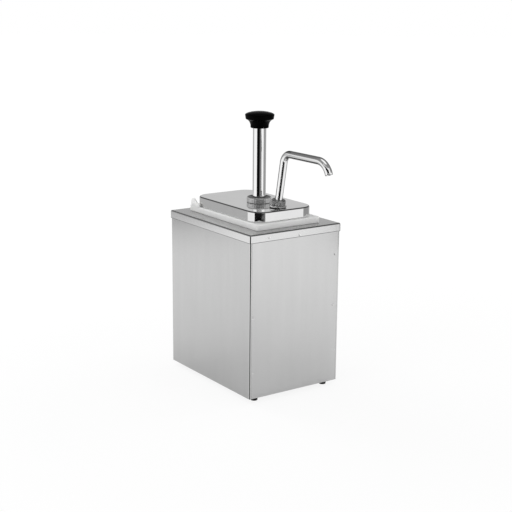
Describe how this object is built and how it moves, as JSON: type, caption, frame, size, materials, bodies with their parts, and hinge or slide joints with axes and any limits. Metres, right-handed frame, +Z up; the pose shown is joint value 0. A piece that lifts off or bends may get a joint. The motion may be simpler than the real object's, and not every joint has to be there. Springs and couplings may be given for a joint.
{
  "type": "sauce dispenser",
  "caption": "Box-shaped steel countertop dispenser with a lift-out pan, a lidded plunger pump with a round push knob, and a leaning spout that bends level and down.",
  "frame": {"origin": "middle of the whole part's bounding box, on the plane that the feet stand on", "axes": "+X the way the spout points, +Y to its left, +Z up"},
  "size_m": [0.3644, 0.2, 0.507],
  "materials": {
    "satin_steel": "satin brushed sheet steel",
    "polished_steel": "polished stainless steel",
    "nut_steel": "cast and tumbled steel",
    "milky_plastic": "translucent milky plastic",
    "white_plastic": "machined white plastic",
    "black_plastic": "glossy black moulding",
    "black_rubber": "matt black rubber",
    "seal_rubber": "dark seal rubber"
  },
  "bodies": {
    "housing": {"housing_wrap": "satin_steel", "front_panel": "satin_steel", "base_plate": "satin_steel", "top_deck": "satin_steel", "foot_front_left": "black_rubber", "foot_front_right": "black_rubber", "foot_back_left": "black_rubber", "foot_back_right": "black_rubber", "foot_screw_front_left": "nut_steel", "foot_screw_front_right": "nut_steel", "foot_screw_back_left": "nut_steel", "foot_screw_back_right": "nut_steel"},
    "pan": {"food_pan": "milky_plastic"},
    "lid": {"pump_lid": "polished_steel", "collar_gasket": "seal_rubber", "guide_bush": "white_plastic", "pump_cylinder": "polished_steel", "valve_body": "white_plastic", "body_ring": "seal_rubber", "ball_retainer": "white_plastic", "return_spring": "polished_steel", "tube_ring": "seal_rubber", "spout_upper_seal": "black_rubber", "spout_lower_seal": "black_rubber", "spout_washer": "polished_steel"},
    "collar_nut": {"collar_nut": "nut_steel"},
    "spout_nut": {"spout_nut": "nut_steel"},
    "spout": {"spout_tube": "polished_steel"},
    "spring_cap": {"spring_cap": "white_plastic"},
    "plunger": {"plunger_tube": "polished_steel", "knob": "black_plastic", "knob_stud": "nut_steel", "piston": "white_plastic", "piston_seal": "seal_rubber"},
    "inlet_ball": {"inlet_ball": "polished_steel"},
    "outlet_ball": {"outlet_ball": "polished_steel"}
  },
  "joints": [
    {"name": "pan_lift", "type": "slide", "parent": "housing", "child": "pan", "axis": [0, 0, 1], "range_m": [0, 0.215]},
    {"name": "lid_lift", "type": "slide", "parent": "pan", "child": "lid", "axis": [0, 0, 1], "range_m": [0, 0.225]},
    {"name": "plunger_press", "type": "slide", "parent": "lid", "child": "spring_cap", "axis": [0, 0, -1], "range_m": [0, 0.11], "stiffness_N_per_m": 250, "springref_m": -0.03, "deforming": ["return_spring"]},
    {"name": "plunger_turn", "type": "hinge", "parent": "spring_cap", "child": "plunger", "pos_m": [-0.02988, 0, 0.339], "axis": [0, 0, 1], "continuous": true},
    {"name": "collar_nut_turn", "type": "hinge", "parent": "lid", "child": "collar_nut", "pos_m": [-0.02988, 0, 0.339], "axis": [0, 0, 1], "range_deg": [0, 360]},
    {"name": "spout_swivel", "type": "hinge", "parent": "lid", "child": "spout", "pos_m": [0.02932, 0, 0.339], "axis": [0.1908, 0, 0.9816], "range_deg": [-60, 60]},
    {"name": "spout_nut_turn", "type": "hinge", "parent": "lid", "child": "spout_nut", "pos_m": [0.02932, 0, 0.339], "axis": [0.1908, 0, 0.9816], "range_deg": [0, 360]},
    {"name": "inlet_ball_lift", "type": "slide", "parent": "lid", "child": "inlet_ball", "axis": [0, 0, 1], "range_m": [0, 0.004]},
    {"name": "outlet_ball_lift", "type": "slide", "parent": "lid", "child": "outlet_ball", "axis": [0.1908, 0, 0.9816], "range_m": [0, 0.003]}
  ]
}
